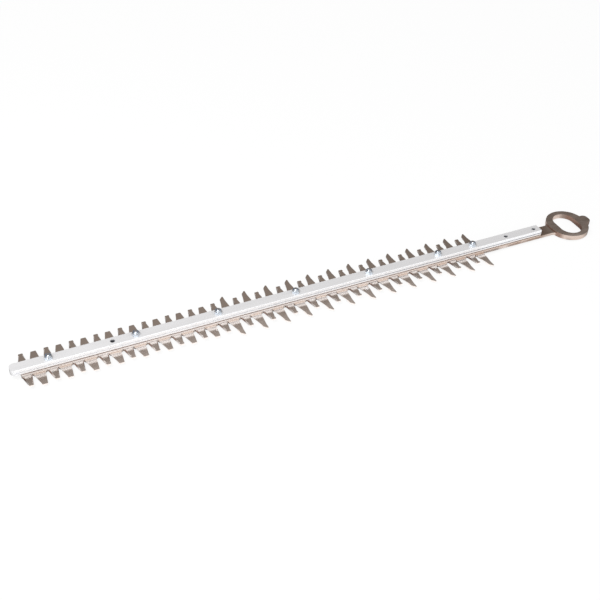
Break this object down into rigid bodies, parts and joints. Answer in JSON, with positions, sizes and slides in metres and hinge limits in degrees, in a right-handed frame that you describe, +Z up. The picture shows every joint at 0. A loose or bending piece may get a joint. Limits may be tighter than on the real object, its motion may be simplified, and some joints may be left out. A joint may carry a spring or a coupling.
{
  "type": "hedge trimmer blade",
  "caption": "Double sided hedge trimmer cutter bar: two toothed blades slide under a grooved guide rail on bolts and bushes, driven through an eye in each blade.",
  "frame": {"origin": "middle of the bounding box at the level of the bolt heads' undersides", "axes": "+X along the bar towards the drive eye, +Y across it, +Z up from the blades to the rail's nuts"},
  "size_m": [0.9592, 0.091, 0.0251],
  "materials": {
    "rail": "bright drawn extrusion",
    "blade": "ground and polished",
    "fastener": "bright zinc plated",
    "bush": "hardened and ground"
  },
  "bodies": {
    "guide": {"guide_rail": "rail", "blade_bolts": "fastener", "bolt_washers": "fastener", "lock_nuts": "fastener", "guide_bush_1": "bush", "guide_bush_2": "bush", "guide_bush_3": "bush", "guide_bush_4": "bush", "guide_bush_5": "bush", "guide_bush_6": "bush", "guide_bush_7": "bush"},
    "upper_cutter": {"upper_blade": "blade"},
    "lower_cutter": {"lower_blade": "blade"}
  },
  "joints": [
    {"name": "upper_blade_slide", "type": "slide", "parent": "guide", "child": "upper_cutter", "axis": [1, 0, 0], "range_m": [-0.00875, 0.00875]},
    {"name": "lower_blade_slide", "type": "slide", "parent": "guide", "child": "lower_cutter", "axis": [1, 0, 0], "range_m": [-0.00875, 0.00875]}
  ]
}
